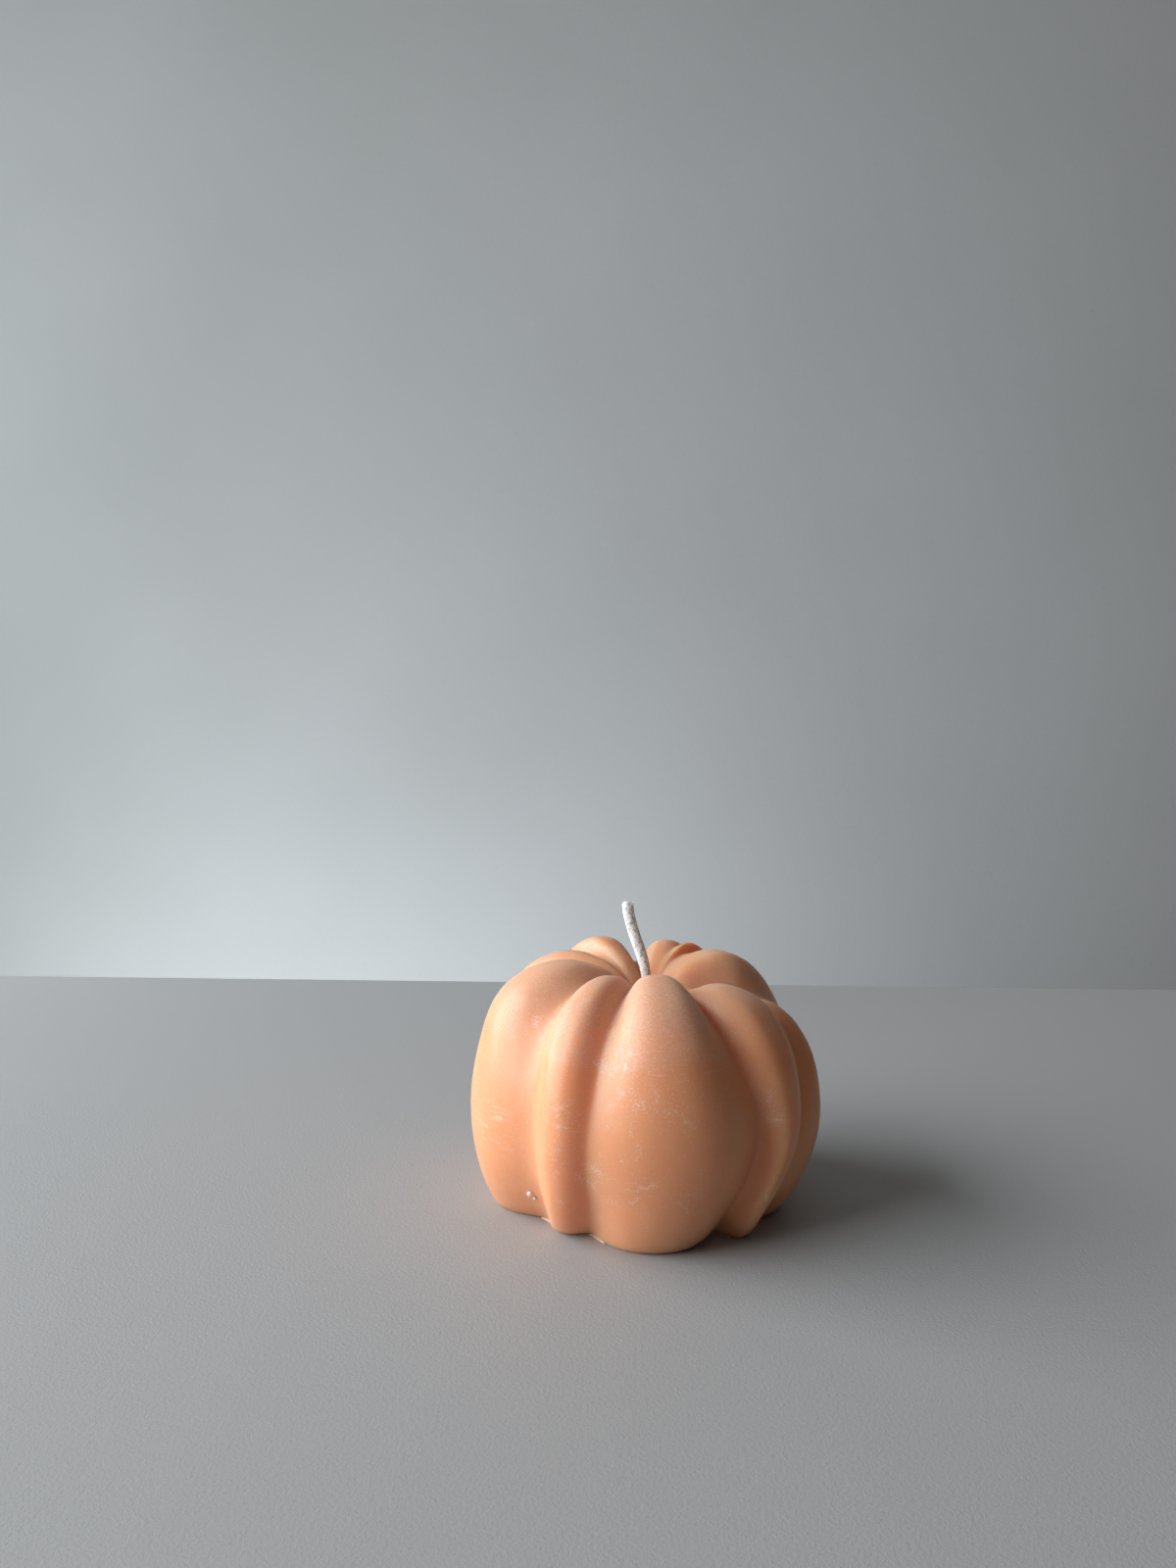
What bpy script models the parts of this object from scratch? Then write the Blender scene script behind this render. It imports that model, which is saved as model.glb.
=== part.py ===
# Pumpkin-shaped wax candle: one cast body with ten unequal lobes, and a braided wick
# through its axis. Metres, +Z up, the flat base on z = 0, the widest lobe to the front (-Y).

import math

import bmesh
import bpy
import numpy as np
from mathutils import Vector

MM = 0.001

# Driving dimensions, in metres where no other unit is named
SIDE_HEIGHT = 54.0           # mm; sets how high each station of the side lies
EDGE_ROUND = 0.0007          # worn edge round the flat base
VALLEY_SIDE = 0.0021         # softness of the grooves on the side
VALLEY_TOP = 0.0006          # softness of the creases on the top
SHALLOW_SOFTNESS = 5.0       # how much softer a groove gets as it fades out
CHANNEL_RADIUS = 0.0016      # straight channel that the wick was drawn through
CHANNEL_SIDES = 32
CUTTER_LENGTH = 0.08
WICK_RADIUS = 0.0013
WICK_FOOT = 0.0003           # lower end of the wick above the surface it stands on
WICK_LEAVE = 0.0485          # height from which the wick starts to lean
WICK_TIP = 0.0670            # height of the wick's cut end
WICK_LEAN = -0.0043          # sideways offset of the cut end
WICK_SPANS = 30

# Meridian over the middle of a lobe, as shares of the lobe's reach and of its height.
# Its points are stations 0 to 13, from the foot up the side, over the top and inwards.
CREST = [
    (0.800, 0.000), (0.868, 0.075), (0.932, 0.170), (0.980, 0.285), (1.000, 0.405),
    (0.988, 0.530), (0.945, 0.665), (0.862, 0.800), (0.735, 0.915), (0.580, 0.982),
    (0.440, 1.000), (0.320, 0.978), (0.210, 0.934), (0.080, 0.838),
]

# Meridian along the bottom of a groove, in millimetres, station by station with CREST
GROOVE = [
    (25.5, 0.0), (28.3, 3.8), (31.2, 9.0), (33.4, 15.2), (34.4, 21.8),
    (33.9, 28.8), (31.8, 35.8), (28.4, 41.8), (24.0, 46.2), (19.4, 48.6),
    (15.2, 49.5), (11.2, 49.3), (7.5, 48.2), (3.2, 46.2),
]

# Grooves, clockwise seen from above, from the front's left side round to its right:
# azimuth from -Y in degrees at the foot, low, middle, high, on the shoulder and inside,
# and the depth as a share of the full depth on the side, on the top and in the hollow
GROOVES = {
    "front_left": ((-27.0, -21.4, -19.0, -17.0, -16.0, -23.0), (1.05, 0.95, 1.00)),
    "left": ((-52.0, -45.0, -42.5, -45.5, -47.0, -60.0), (0.85, 0.75, 0.90)),
    "left_rear": ((-98.0, -98.0, -98.0, -98.0, -98.0, -100.0), (0.90, 0.95, 1.00)),
    "rear_left": ((-132.0, -132.0, -131.0, -131.0, -130.0, -128.0), (1.00, 1.00, 1.00)),
    "rear": ((-178.0, -178.0, -178.0, -176.0, -171.5, -170.0), (1.00, 0.95, 1.00)),
    "rear_small": ((-205.0, -205.0, -205.0, -205.5, -205.8, -205.0), (0.60, 0.24, 0.00)),
    "rear_right": ((-219.0, -219.0, -219.0, -218.6, -218.0, -214.5), (0.95, 0.42, 0.00)),
    "right_rear": ((-262.0, -262.0, -262.0, -262.0, -274.0, -279.0), (0.80, 0.60, 0.50)),
    "right": ((-307.5, -309.0, -298.5, -287.5, -281.5, -281.0), (1.50, 1.00, 0.90)),
    "front_right": ((-325.5, -324.0, -317.5, -323.5, -327.0, -322.0), (1.15, 1.30, 1.10)),
}
AZIMUTH_STATIONS = (0.0, 1.6, 4.2, 7.0, 9.4, 13.0)

# Lobes in the same order, each from one groove to the next: reach, foot, height and
# fullness of the shoulder in millimetres, squareness across on the side and on the top,
# lean of the crest in degrees, and columns of faces
LOBES = [
    ("front_left", "left", 38.3, 28.6, 53.0, 0.0, 2.4, 3.0, 0.0, 9),
    ("left", "left_rear", 39.8, 34.2, 54.2, 2.2, 2.3, 3.0, -4.0, 13),
    ("left_rear", "rear_left", 39.4, 33.0, 54.0, 1.5, 2.1, 3.0, 0.0, 10),
    ("rear_left", "rear", 38.8, 32.0, 55.9, 0.8, 2.4, 3.0, 7.0, 12),
    ("rear", "rear_small", 38.2, 31.0, 54.8, 0.0, 2.2, 2.7, -5.5, 9),
    ("rear_small", "rear_right", 37.6, 30.5, 54.7, 0.0, 2.0, 2.2, 0.0, 7),
    ("rear_right", "right_rear", 39.0, 31.5, 54.1, -0.2, 2.2, 2.8, 4.0, 13),
    ("right_rear", "right", 38.9, 29.8, 49.8, -1.8, 2.3, 2.3, -2.0, 9),
    ("right", "front_right", 38.9, 30.3, 51.0, 0.0, 3.3, 3.0, 0.0, 10),
    ("front_right", "front_left", 38.8, 31.0, 54.0, 0.0, 2.3, 3.0, 0.0, 16),
]

# Grooves, and lobes by the groove that they start from, that differ from the common form
# round one station: how much, the station, and the spread. The amounts are millimetres by
# which they lie lower, millimetres by which a groove is filled, and degrees of more lean.
GROOVE_SINK = {
    "right": (4.5, 10.0, 2.2), "right_rear": (4.0, 10.0, 2.2),
    "rear_small": (0.1, 11.0, 1.6), "rear_right": (0.8, 11.0, 1.6),
}
GROOVE_FILL = {"front_left": (1.4, 4.4, 2.6)}
LOBE_SINK = {
    "rear_small": (1.4, 12.0, 1.7), "right_rear": (5.4, 10.0, 1.7), "right": (4.5, 12.3, 1.5),
}
LOBE_LEAN = {"front_left": (1.2, 4.6, 2.2)}

LAST = len(CREST) - 1        # last station, where all lobes meet round the wick
ROWS = 34                    # rows of faces from the foot to the last station
CROWDING = 0.6               # how strongly columns of faces crowd towards the grooves

# Stretches of the meridian, as stations: where each starts and how far it runs
FOOT_RUN = 4.0               # a lobe's own foot blends into the common side
SETTLE = (5.0, 5.0)          # a lobe's own height takes over from the common side
SHOULDER = (8.1, 1.6)        # middle and spread of a fuller shoulder
NOSE = (10.0, 3.0)           # the crest goes down to the level of the grooves
SIDE_TO_TOP = (5.5, 3.0)     # a groove's depth goes from its side share to its top share
TOP_TO_INSIDE = (9.5, 2.0)   # and from its top share to its share in the hollow
SOFT_TO_SHARP = (6.0, 3.0)   # grooves turn into creases


def ramp(t, stretch):
    """Share of a stretch of the meridian that lies behind station t."""
    start, run = stretch
    return min(max((t - start) / run, 0.0), 1.0)


def smooth(share):
    """The same share with a gentle start and end."""
    return share * share * (3 - 2 * share)


def spline(stations, values, t):
    """Smooth curve through values at the given stations, without overshoot at the ends."""
    stations = np.asarray(stations, float)
    values = np.asarray(values, float)
    slopes = np.gradient(values, stations, axis=0)
    k = int(np.clip(np.searchsorted(stations, t, side="right") - 1, 0, len(stations) - 2))
    width = stations[k + 1] - stations[k]
    u = min(max((t - stations[k]) / width, 0.0), 1.0)
    a = 2 * u ** 3 - 3 * u ** 2 + 1
    b = u ** 3 - 2 * u ** 2 + u
    c = -2 * u ** 3 + 3 * u ** 2
    d = u ** 3 - u ** 2
    return a * values[k] + b * width * slopes[k] + c * values[k + 1] + d * width * slopes[k + 1]


def swell(table, name, t):
    """Amount by which a groove or a lobe differs from the common form at station t."""
    amount, middle, spread = table.get(name, (0.0, 0.0, 1.0))
    return amount * math.exp(-((t - middle) / spread) ** 2)


def crest_point(lobe, t):
    """Radius and height in millimetres on a lobe's middle meridian."""
    reach, foot, own_height, shoulder = lobe[2:6]
    share, rise = spline(range(len(CREST)), CREST, t)
    radius = share * reach + shoulder * math.exp(-((t - SHOULDER[0]) / SHOULDER[1]) ** 2)
    radius += (foot - CREST[0][0] * reach) * max(0.0, 1.0 - t / FOOT_RUN) ** 1.5
    height = SIDE_HEIGHT + (own_height - SIDE_HEIGHT) * smooth(ramp(t, SETTLE))
    z = rise * height - swell(LOBE_SINK, lobe[0], t)
    inner = smooth(ramp(t, NOSE))
    end_radius, end_height = GROOVE[-1]
    radius += (end_radius - CREST[-1][0] * reach) * inner
    z += (end_height - CREST[-1][1] * height) * inner
    return np.array([radius, z])


def groove_depth(name, t):
    """Depth of a groove at station t, as a share of the full depth."""
    side, top, inside = GROOVES[name][1]
    share = side + (top - side) * ramp(t, SIDE_TO_TOP)
    return share + (inside - top) * ramp(t, TOP_TO_INSIDE)


def groove_point(name, before, after, t):
    """Radius and height in millimetres at the bottom of a groove."""
    deep = spline(range(len(GROOVE)), GROOVE, t)
    crest = 0.5 * (crest_point(before, t) + crest_point(after, t))
    if t <= 0:
        deep[1] = crest[1] = 0.0
    point = crest + (deep - crest) * groove_depth(name, t)
    return point + (swell(GROOVE_FILL, name, t), -swell(GROOVE_SINK, name, t))


def across(u, softness, squareness):
    """Rise from a groove (u = 0) to the crest (u = 1), with a soft valley at the groove."""
    peak = math.sqrt(1 + softness ** 2) - softness
    soft = (math.sqrt(u * u + softness ** 2) - softness) / peak
    return 1.0 - (1.0 - soft) ** squareness


def lobe_surface_point(index, s, t):
    """Point of lobe number index at s (-1 to 1 between its grooves) and station t."""
    lobe = LOBES[index]
    start_name, end_name = lobe[:2]
    side_squareness, top_squareness, lean = lobe[6:9]
    previous = LOBES[index - 1]
    following = LOBES[(index + 1) % len(LOBES)]
    start_azimuth = spline(AZIMUTH_STATIONS, GROOVES[start_name][0], t)
    end_azimuth = spline(AZIMUTH_STATIONS, GROOVES[end_name][0], t)
    if end_azimuth > start_azimuth:
        end_azimuth -= 360.0
    azimuth = start_azimuth + (end_azimuth - start_azimuth) * (s + 1) / 2
    lean = lean * (1 - ramp(t, NOSE)) + swell(LOBE_LEAN, start_name, t)
    azimuth += lean * (1 - s * s)
    if s < 0:
        groove = groove_point(start_name, previous, lobe, t)
        depth = groove_depth(start_name, t)
    else:
        groove = groove_point(end_name, lobe, following, t)
        depth = groove_depth(end_name, t)
    crest = crest_point(lobe, t)
    half_angle = abs(math.radians(end_azimuth - start_azimuth)) / 2
    half_width = half_angle * max(groove[0], GROOVE[-1][0]) * MM
    blend = ramp(t, SOFT_TO_SHARP)
    valley = VALLEY_SIDE + (VALLEY_TOP - VALLEY_SIDE) * blend
    valley *= 1 + SHALLOW_SOFTNESS * max(0.0, 1 - depth)
    squareness = side_squareness + (top_squareness - side_squareness) * blend
    radius, z = groove + (crest - groove) * across(1 - abs(s), valley / half_width, squareness)
    angle = math.radians(azimuth)
    return Vector((radius * math.sin(angle), -radius * math.cos(angle), z)) * MM


def body_rings():
    """Rings of points from the foot up the side, over the shoulder and into the hollow."""
    columns = []
    for index, lobe in enumerate(LOBES):
        count = lobe[9]
        for k in range(count):
            crowded = -math.cos(math.pi * k / count)
            even = -1 + 2 * k / count
            columns.append((index, CROWDING * crowded + (1 - CROWDING) * even))
    rings = []
    for row in range(ROWS + 1):
        t = LAST * row / ROWS
        rings.append([lobe_surface_point(index, s, t) for index, s in columns])
    foot = rings[0]
    rounded = []
    for share in (0.0, 0.3):
        ring = []
        for point in foot:
            outwards = Vector((point.x, point.y, 0)).normalized()
            inset = EDGE_ROUND * (1 - math.sqrt(share * (2 - share)))
            ring.append(point - outwards * inset + Vector((0, 0, EDGE_ROUND * share)))
        rounded.append(ring)
    lifted = []
    for point, above in zip(foot, rings[1]):
        lifted.append(point.lerp(above, EDGE_ROUND / above.z))
    return rounded + [lifted] + rings[1:]


def closed_body(name, rings):
    """One closed mesh from rings of equal length, capped flat at both ends."""
    mesh = bpy.data.meshes.new(name)
    bm = bmesh.new()
    rows = [[bm.verts.new(point) for point in ring] for ring in rings]
    count = len(rows[0])
    for lower, upper in zip(rows, rows[1:]):
        for i in range(count):
            j = (i + 1) % count
            bm.faces.new((lower[i], lower[j], upper[j], upper[i]))
    bm.faces.new(rows[0])
    bm.faces.new(rows[-1])
    bmesh.ops.recalc_face_normals(bm, faces=bm.faces)
    bm.to_mesh(mesh)
    bm.free()
    return mesh


def material(name, colour, roughness, subsurface):
    """Principled material with the colour seen on the piece."""
    made = bpy.data.materials.new(name)
    made.use_nodes = True
    shader = made.node_tree.nodes["Principled BSDF"]
    shader.inputs["Base Color"].default_value = (*colour, 1.0)
    shader.inputs["Roughness"].default_value = roughness
    shader.inputs["Metallic"].default_value = 0.0
    shader.inputs["Subsurface Weight"].default_value = subsurface
    shader.inputs["Subsurface Scale"].default_value = 0.004
    return made


def make_wax_body():
    """The cast wax, centred on the origin, with the wick's channel cut through it."""
    mesh = closed_body("wax_body", body_rings())
    xs = [vertex.co.x for vertex in mesh.vertices]
    ys = [vertex.co.y for vertex in mesh.vertices]
    centre = Vector((min(xs) + max(xs), min(ys) + max(ys), 0)) / 2
    for vertex in mesh.vertices:
        vertex.co -= centre
    body = bpy.data.objects.new("wax_body", mesh)
    bpy.context.collection.objects.link(body)
    mesh.materials.append(material("wax", (0.83, 0.45, 0.27), 0.45, 0.3))

    middle = (-centre.x, -centre.y, CUTTER_LENGTH / 2 - 0.01)
    bpy.ops.mesh.primitive_cylinder_add(vertices=CHANNEL_SIDES, radius=CHANNEL_RADIUS,
                                        depth=CUTTER_LENGTH, location=middle)
    cutter = bpy.context.active_object
    cutter.name = "channel_cutter"
    cutter.hide_render = True
    cutter.display_type = "WIRE"
    channel = body.modifiers.new("channel", "BOOLEAN")
    channel.operation = "DIFFERENCE"
    channel.solver = "EXACT"
    channel.object = cutter
    mesh.shade_smooth()
    mesh.set_sharp_from_angle(angle=math.radians(50))
    return body, -centre


def make_wick(axis):
    """The braided cord: straight in its channel, then an S-shaped lean to its cut end."""
    curve = bpy.data.curves.new("wick", "CURVE")
    curve.dimensions = "3D"
    curve.bevel_depth = WICK_RADIUS
    curve.bevel_resolution = 2
    curve.use_fill_caps = True
    path = curve.splines.new("POLY")
    path.points.add(WICK_SPANS)
    for i, point in enumerate(path.points):
        z = WICK_FOOT + (WICK_TIP - WICK_FOOT) * i / WICK_SPANS
        lean = WICK_LEAN * smooth(ramp(z, (WICK_LEAVE, WICK_TIP - WICK_LEAVE)))
        point.co = (axis.x + lean, axis.y, z, 1.0)
    curve.materials.append(material("wick_cotton", (0.74, 0.74, 0.74), 0.9, 0.0))
    wick = bpy.data.objects.new("wick", curve)
    bpy.context.collection.objects.link(wick)
    return wick


for old in list(bpy.context.scene.objects):
    bpy.data.objects.remove(old, do_unlink=True)

wax_body, wick_axis = make_wax_body()
make_wick(wick_axis)
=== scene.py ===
# Looks of the pumpkin-shaped candle: translucent peach wax with a dusty bloom, rubbed and
# flaked here and there, and a braided cotton wick, on a plain pale table in window light.

import math

import bmesh
import bpy
import numpy as np
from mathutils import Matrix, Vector, noise
from mathutils.bvhtree import BVHTree


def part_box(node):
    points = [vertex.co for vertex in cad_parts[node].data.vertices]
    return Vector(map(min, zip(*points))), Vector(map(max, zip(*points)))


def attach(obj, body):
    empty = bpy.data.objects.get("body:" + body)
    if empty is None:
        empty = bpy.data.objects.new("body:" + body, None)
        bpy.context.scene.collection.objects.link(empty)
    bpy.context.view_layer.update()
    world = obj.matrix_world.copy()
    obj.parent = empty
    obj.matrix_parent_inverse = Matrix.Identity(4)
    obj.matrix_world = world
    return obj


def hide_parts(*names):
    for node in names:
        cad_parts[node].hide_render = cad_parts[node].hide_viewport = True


MM = 0.001

# Camera, relative to the wick's axis
CAMERA_BACK = 0.262
CAMERA_HEIGHT = 0.1117167
CAMERA_PITCH = 4.0
CAMERA_YAW = 2.89162
LENS = 27.0
SENSOR_HEIGHT = 36.0

# Stage: the far edge of the table and the wall behind it
TABLE_EDGE = 0.2
WALL = 0.78

# Wax body: the meridians, grooves and lobes of the CAD part, by stations from the foot over
# the top to the wick. CREST has shares of a lobe's reach and height, GROOVE has millimetres.
# Each groove has its azimuths in degrees from -Y at AZIMUTH_STATIONS, and its depth as a
# share on the side, on the top and inside.
SIDE_HEIGHT = 54.0
EDGE_ROUND = 0.0007
VALLEY_SIDE = 0.0021
VALLEY_TOP = 0.0006
SHALLOW_SOFTNESS = 5.0
CREST = np.array([
    (0.800, 0.000), (0.868, 0.075), (0.932, 0.170), (0.980, 0.285), (1.000, 0.405),
    (0.988, 0.530), (0.945, 0.665), (0.862, 0.800), (0.735, 0.915), (0.580, 0.982),
    (0.440, 1.000), (0.320, 0.978), (0.210, 0.934), (0.080, 0.838),
])
GROOVE = np.array([
    (25.5, 0.0), (28.3, 3.8), (31.2, 9.0), (33.4, 15.2), (34.4, 21.8),
    (33.9, 28.8), (31.8, 35.8), (28.4, 41.8), (24.0, 46.2), (19.4, 48.6),
    (15.2, 49.5), (11.2, 49.3), (7.5, 48.2), (3.2, 46.2),
])
GROOVES = {
    "front_left": ((-27.0, -21.4, -19.0, -17.0, -16.0, -23.0), (1.05, 0.95, 1.00)),
    "left": ((-52.0, -45.0, -42.5, -45.5, -47.0, -60.0), (0.85, 0.75, 0.90)),
    "left_rear": ((-98.0, -98.0, -98.0, -98.0, -98.0, -100.0), (0.90, 0.95, 1.00)),
    "rear_left": ((-132.0, -132.0, -131.0, -131.0, -130.0, -128.0), (1.00, 1.00, 1.00)),
    "rear": ((-178.0, -178.0, -178.0, -176.0, -171.5, -170.0), (1.00, 0.95, 1.00)),
    "rear_small": ((-205.0, -205.0, -205.0, -205.5, -205.8, -205.0), (0.60, 0.24, 0.00)),
    "rear_right": ((-219.0, -219.0, -219.0, -218.6, -218.0, -214.5), (0.95, 0.42, 0.00)),
    "right_rear": ((-262.0, -262.0, -262.0, -262.0, -274.0, -279.0), (0.80, 0.60, 0.50)),
    "right": ((-307.5, -309.0, -298.5, -287.5, -281.5, -281.0), (1.50, 1.00, 0.90)),
    "front_right": ((-325.5, -324.0, -317.5, -323.5, -327.0, -322.0), (1.15, 1.30, 1.10)),
}
AZIMUTH_STATIONS = (0.0, 1.6, 4.2, 7.0, 9.4, 13.0)

# Grooves, and lobes by the groove that they start from, that differ from the common form
# round one station: how much, the station, and the spread. The amounts are millimetres by
# which they lie lower, millimetres by which a groove is filled, and degrees of more lean.
# At the small rear lobe the wax lies up to 1 mm higher here than in the CAD part.
GROOVE_SINK = {
    "right": (4.5, 10.0, 2.2), "right_rear": (4.0, 10.0, 2.2),
    "rear_small": (0.1, 11.0, 1.6), "rear_right": (0.5, 11.0, 1.6),
}
GROOVE_FILL = {"front_left": (1.4, 4.4, 2.6)}
LOBE_SINK = {
    "rear_small": (0.4, 12.0, 1.7), "right_rear": (5.4, 10.0, 1.7), "right": (4.5, 12.3, 1.5),
}
LOBE_LEAN = {"front_left": (1.2, 4.6, 2.2)}

# Lobes from groove to groove: reach, foot, height, shoulder, squareness across on the side
# and on the top, lean and columns
LOBES = [
    ("front_left", "left", 38.3, 28.6, 53.0, 0.0, 2.4, 3.0, 0.0, 42),
    ("left", "left_rear", 39.8, 34.2, 54.2, 2.2, 2.3, 3.0, -4.0, 64),
    ("left_rear", "rear_left", 39.4, 33.0, 54.0, 1.5, 2.1, 3.0, 0.0, 42),
    ("rear_left", "rear", 38.8, 32.0, 55.9, 0.8, 2.4, 3.0, 7.0, 50),
    ("rear", "rear_small", 38.2, 31.0, 54.8, 0.0, 2.2, 2.7, -5.5, 34),
    ("rear_small", "rear_right", 37.6, 30.5, 54.7, 0.0, 2.0, 2.2, 0.0, 26),
    ("rear_right", "right_rear", 39.0, 31.5, 54.1, -0.2, 2.2, 2.8, 4.0, 54),
    ("right_rear", "right", 38.9, 29.8, 49.8, -1.8, 2.3, 2.3, -2.0, 40),
    ("right", "front_right", 38.9, 30.3, 51.0, 0.0, 3.3, 3.0, 0.0, 60),
    ("front_right", "front_left", 38.8, 31.0, 54.0, 0.0, 2.3, 3.0, 0.0, 76),
]
LAST = len(CREST) - 1
ROWS = 200
CROWDING = 0.55  # how far the columns are drawn towards the grooves
FOOT_RUN = 4.0  # stations over which the foot's own reach fades out
FOOT_CURVE = 1.5
SHOULDER = (8.1, 1.6)  # station and spread of the shoulder

# Stretches of the meridian: the station where each begins, and its run in stations
SETTLE = (5.0, 5.0)
NOSE = (10.0, 3.0)
SIDE_TO_TOP = (5.5, 3.0)
TOP_TO_INSIDE = (9.5, 2.0)
SOFT_TO_SHARP = (6.0, 3.0)
WAVES_BEGIN = (0.0, 1.0)
WAVES_END = (11.5, 1.5)
SEAM_BEGINS = (1.0, 1.5)
SEAM_ENDS = (9.0, 1.0)

# Worn edge of the foot, as shares of its rounding, and where the wax closes on the wick
EDGE_SHARES = (0.0, 0.08, 0.25, 0.5)
EDGE_CLEAR = 1.3
CLOSING_SHARES = (0.35, 0.7, 1.0)
CLOSING_DIP = 0.0005

# Fine form of the cast surface, in millimetres
UNDULATION = 0.10  # slow waves of the cast skin
WAVE_SCALE = 95.0  # waves and ripples per metre
RIPPLE_SCALE = 230.0
RIPPLE_SHARE = 0.6
SEAM_LOBE = 8  # the mould's seam runs up this lobe
SEAM_STATIONS = (0.0, 4.0, 5.0, 6.0, 7.0, 8.3, 9.5)
SEAM_PLACES = (-0.27, -0.28, -0.32, -0.36, -0.40, -0.46, -0.50)
SEAM_HEIGHT = 0.16
SEAM_WIDTH = 0.010  # as a share of half a lobe
SEAM_COLUMNS = 13
SEAM_REACH = 3.0  # reach of those columns, in widths of the seam
SEAM_CROWDING = 1.2

# Wick
WICK_RADIUS = 0.0013
WICK_WAISTED = 0.00112  # it is pressed thinner where it leaves the wax
WICK_LEAVE = 0.0485
WICK_TIP = 0.0670
WICK_LEAN = -0.0043
WICK_START = 0.0440  # lower end of the part that is shown
WICK_HOLE = 0.00095  # the wax closes on the wick just inside its surface
STRANDS = 8  # strands each way
STRAND_RISE = 0.0068  # height in which a strand goes once round the cord
STRAND_RELIEF = 0.00016  # depth of the braid
STRAND_SWELL = 0.8  # how flat a strand's back is, flatter when lower
STRAND_LEVEL = 0.62  # middle level of a strand, and how far it rises and dives
STRAND_DIVE = 0.38
WICK_RINGS = 330
WICK_COLUMNS = 128
WICK_STEP = 0.0002  # short step along the cord, to find its direction
WAIST_RUN = 0.009  # height in which it reaches its full thickness
WICK_LUMPS = 0.00009  # uneven thickness of the threads
LUMPS_AROUND = 1.9
LUMPS_ALONG = 1400
WICK_GRAIN = 0.000007
CUT_SLANT = 0.00035  # the cut end slopes down to the right
CUT_ROUND = 0.0006
CUT_CORE = 0.12  # share of the radius that stays at the very end
CUT_RELIEF = 0.3  # share of the braid's relief that stays there
FIBRES = 340  # loose fibres, every third of them near the cut end
FIBRE_RADIUS = 0.000020
FIBRE_LENGTHS = (0.0004, 0.0014)
FIBRE_TAPER = 0.75
FIBRE_POINTS = 5
FIBRE_SIDES = 3
FIBRE_ROOT = 0.9  # where their roots lie, in radii from the cord's middle
FIBRE_MARGINS = (0.001, 0.0004)  # no roots so near the wax or the tip
FIBRE_TURNS = (-1.2, 1.2)  # how far they may lean round the cord and along it
FIBRE_RISES = (-0.6, 1.0)
FIBRE_LEAN = 0.5
FIBRE_CURL = (0.45, 0.25)  # how they stand out and bend back
WAIST_FUZZ = 0.004  # height above the wax where the cord counts as thin
CUT_FUZZ = 0.0022  # height of the cut end that has more fibres

# Bloom, a dusty film: its lower edge in millimetres over azimuth in degrees from -Y, and
# how dense it is above that edge
BLOOM_AZIMUTHS = (-180.0, -100.0, -72.0, -60.0, -48.0, -40.0, -27.0, -20.0, -13.0, -8.7, -3.4,
                  3.3, 6.5, 12.1, 17.2, 28.0, 38.0, 60.0, 110.0, 180.0)
BLOOM_EDGES = (43.0, 42.0, 40.0, 39.0, 40.0, 38.0, 38.0, 37.0, 35.6, 38.4, 38.6,
               37.8, 38.1, 39.6, 39.1, 37.7, 39.0, 41.0, 43.0, 43.0)
BLOOM_DENSITIES = (0.35, 0.35, 0.55, 0.75, 0.6, 0.8, 0.9, 1.0, 1.0, 1.0, 1.0,
                   0.9, 0.9, 0.85, 0.85, 0.8, 0.5, 0.4, 0.35, 0.35)
BLOOM_FADE = (1.2, 3.0)  # from below the edge to above it, in millimetres
BLOOM_INSIDE = (8.0, 10.0)  # distance from the axis where it begins, and its fade

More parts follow.
